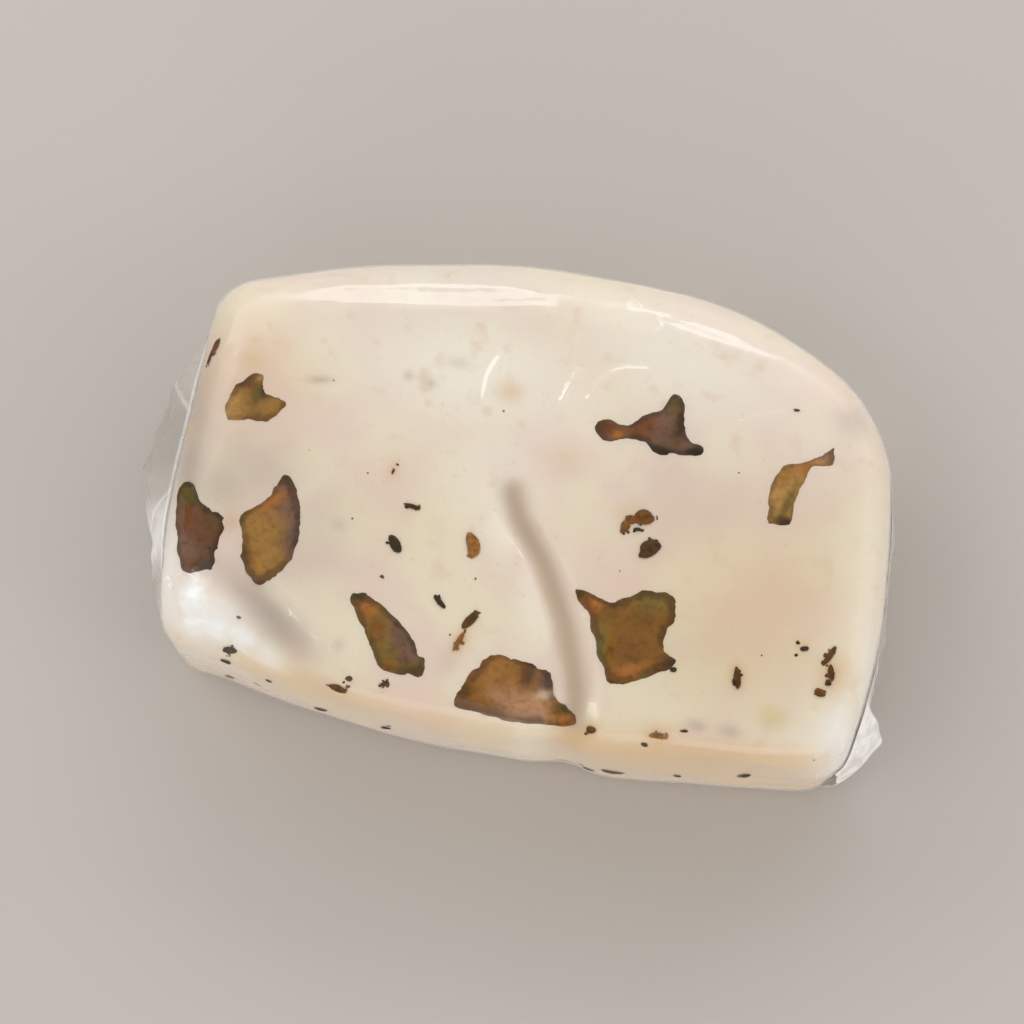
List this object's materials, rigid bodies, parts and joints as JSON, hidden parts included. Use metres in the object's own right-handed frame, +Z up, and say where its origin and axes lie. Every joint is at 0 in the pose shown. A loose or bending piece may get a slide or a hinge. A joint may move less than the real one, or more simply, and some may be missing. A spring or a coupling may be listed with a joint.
{
  "type": "nougat block",
  "caption": "Flat slab of pale nougat with walnut pieces in its faces, wrapped tight in clear film that is folded at its ends.",
  "frame": {"origin": "on the resting plane, under the middle of the block's box", "axes": "+X along the block, +Y across it towards the edge that bows out most, +Z up"},
  "size_m": [0.0996, 0.0622, 0.025],
  "materials": {
    "nougat": "chewy pale nougat, soft and slightly translucent",
    "walnut": "cut walnut kernel, dull",
    "clear_film": "clear glossy wrapping film"
  },
  "bodies": {
    "root": {"nougat_block": "nougat", "walnut_top_1": "walnut", "walnut_top_2": "walnut", "walnut_top_3": "walnut", "walnut_top_4": "walnut", "walnut_top_5": "walnut", "walnut_top_6": "walnut", "walnut_top_7": "walnut", "walnut_top_8": "walnut", "walnut_right_1": "walnut", "walnut_right_2": "walnut", "walnut_rear_1": "walnut", "walnut_rear_2": "walnut", "walnut_rear_3": "walnut", "walnut_left_1": "walnut", "walnut_left_2": "walnut", "walnut_under_1": "walnut", "walnut_under_2": "walnut", "walnut_under_3": "walnut", "walnut_under_4": "walnut", "walnut_under_5": "walnut", "walnut_under_6": "walnut", "film_end_left": "clear_film", "film_end_right": "clear_film"}
  },
  "joints": []
}
